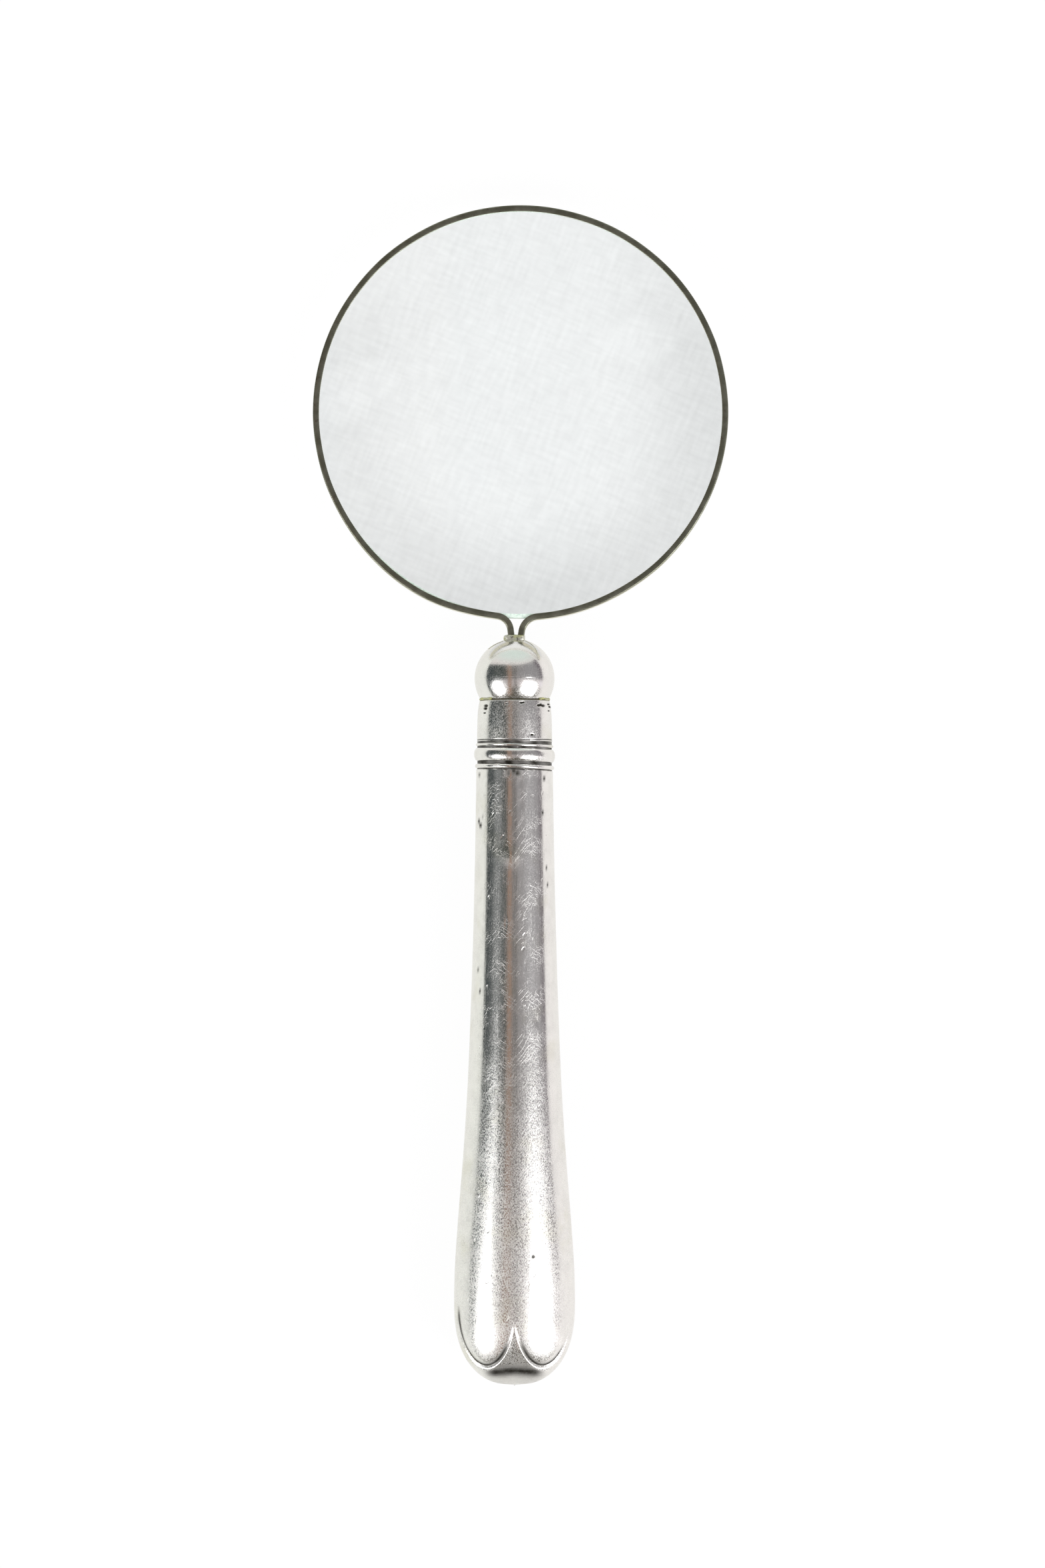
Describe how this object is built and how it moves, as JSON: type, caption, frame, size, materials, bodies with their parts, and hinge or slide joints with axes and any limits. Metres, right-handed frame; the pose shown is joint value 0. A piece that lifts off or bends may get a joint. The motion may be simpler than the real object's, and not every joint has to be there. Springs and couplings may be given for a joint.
{
  "type": "magnifying glass",
  "caption": "Hand-held round reading lens in a thin grooved rim strip, soldered through a ball and ferrule to a swelling hollow metal handle with ring mouldings and a lobed butt.",
  "frame": {"origin": "middle of the bottom of the bounding box", "axes": "+Z along the lens axis, out of the front face; +Y from the butt towards the head; +X to the right seen from the front"},
  "size_m": [0.0758, 0.2151, 0.0194],
  "materials": {
    "lens_glass": "polished, with fine handling scratches",
    "rim_metal": "dull grey-brown tarnish",
    "solder": "rough, dirty",
    "tang_steel": "dull, solder-washed",
    "ball_silver": "polished, lightly worn",
    "ferrule_silver": "worn satin with pits",
    "handle_silver": "polished, worn and scratched, dark in the grooves",
    "pitch": "hard brown pitch"
  },
  "bodies": {
    "handle": {"rim_strip": "rim_metal", "leg_solder": "solder", "tang": "tang_steel", "ball_upper_shell": "ball_silver", "ball_lower_shell": "ball_silver", "ball_solder": "solder", "cap_plate": "ferrule_silver", "ferrule": "ferrule_silver", "shell_front": "handle_silver", "shell_back": "handle_silver", "pitch_filling": "pitch"},
    "lens": {"lens": "lens_glass"}
  },
  "joints": [
    {"name": "lens_turn", "type": "hinge", "parent": "handle", "child": "lens", "pos_m": [0, 0.06965, 0.0097], "axis": [0, 0, 1], "continuous": true}
  ]
}
